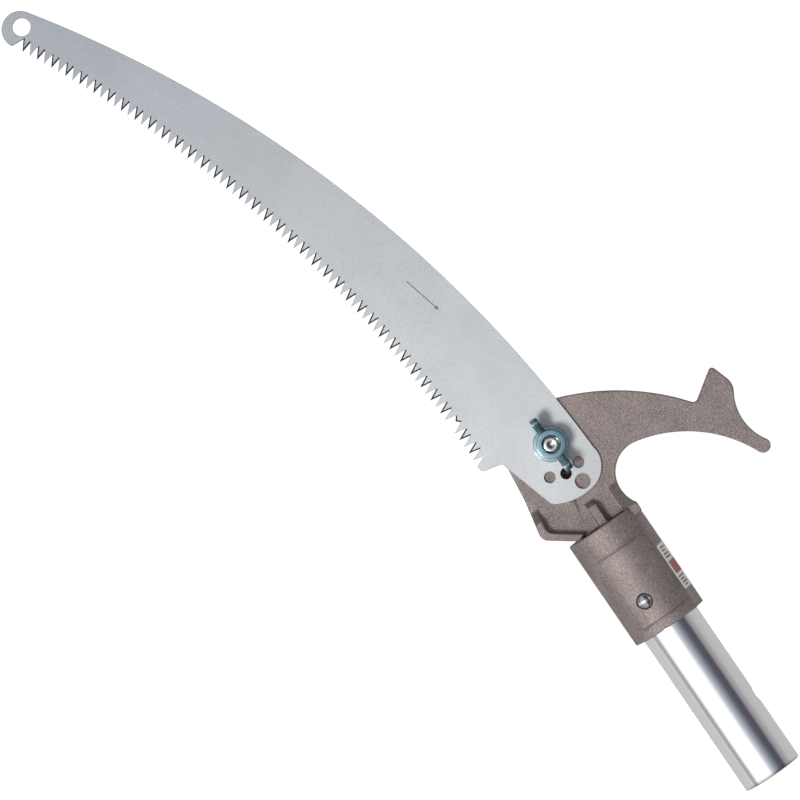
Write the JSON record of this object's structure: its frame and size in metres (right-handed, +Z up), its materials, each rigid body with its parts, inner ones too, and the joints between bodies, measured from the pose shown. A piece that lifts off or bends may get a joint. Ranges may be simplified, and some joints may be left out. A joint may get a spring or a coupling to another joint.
{
  "type": "pole saw head",
  "caption": "Pruning saw head for a pole: curved toothed blade clamped by a wing nut to a cast head with a branch hook, on an aluminium adapter tube held by a snap button.",
  "frame": {"origin": "centre of the adapter tube's lower end, on the pole's axis", "axes": "+Z up the pole's axis towards the saw head, +X towards the branch hook, -Y towards the wing nut and blade side"},
  "size_m": [0.2027, 0.0424, 0.5281],
  "materials": {
    "blade_steel": "satin ground",
    "head_casting": "tumbled casting",
    "zinc_plate": "bright zinc",
    "spring_steel": "polished",
    "tube_aluminium": "drawn and polished",
    "button_chrome": "polished",
    "label_vinyl": "printed vinyl"
  },
  "bodies": {
    "head": {"saw_head": "head_casting", "carriage_bolt": "zinc_plate", "locating_pin": "spring_steel", "adapter_tube": "tube_aluminium", "button_spring": "spring_steel", "collar_label": "label_vinyl"},
    "clamp": {"flat_washer": "zinc_plate", "lock_washer": "zinc_plate"},
    "nut": {"wing_nut": "zinc_plate"},
    "blade": {"saw_blade": "blade_steel"},
    "button": {"snap_button": "button_chrome"}
  },
  "joints": [
    {"name": "clamp_slide", "type": "slide", "parent": "head", "child": "clamp", "axis": [0, -1, 0], "range_m": [0, 0.00424]},
    {"name": "nut_spin", "type": "hinge", "parent": "clamp", "child": "nut", "pos_m": [0.0012, 0, 0.1984], "axis": [0, -1, 0], "range_deg": [0, 1080]},
    {"name": "blade_turn", "type": "hinge", "parent": "head", "child": "blade", "pos_m": [0.0012, 0, 0.1984], "axis": [0, -1, 0], "range_deg": [-29.4, 29.4]},
    {"name": "button_press", "type": "slide", "parent": "head", "child": "button", "axis": [0.225, 0.9744, 0], "range_m": [0, 0.0068], "stiffness_N_per_m": 1500, "springref_m": -0.003, "deforming": ["button_spring"]}
  ],
  "couplings": [
    {"joint": "clamp_slide", "follows": "nut_spin", "m_per_rad": 0.00022458}
  ]
}
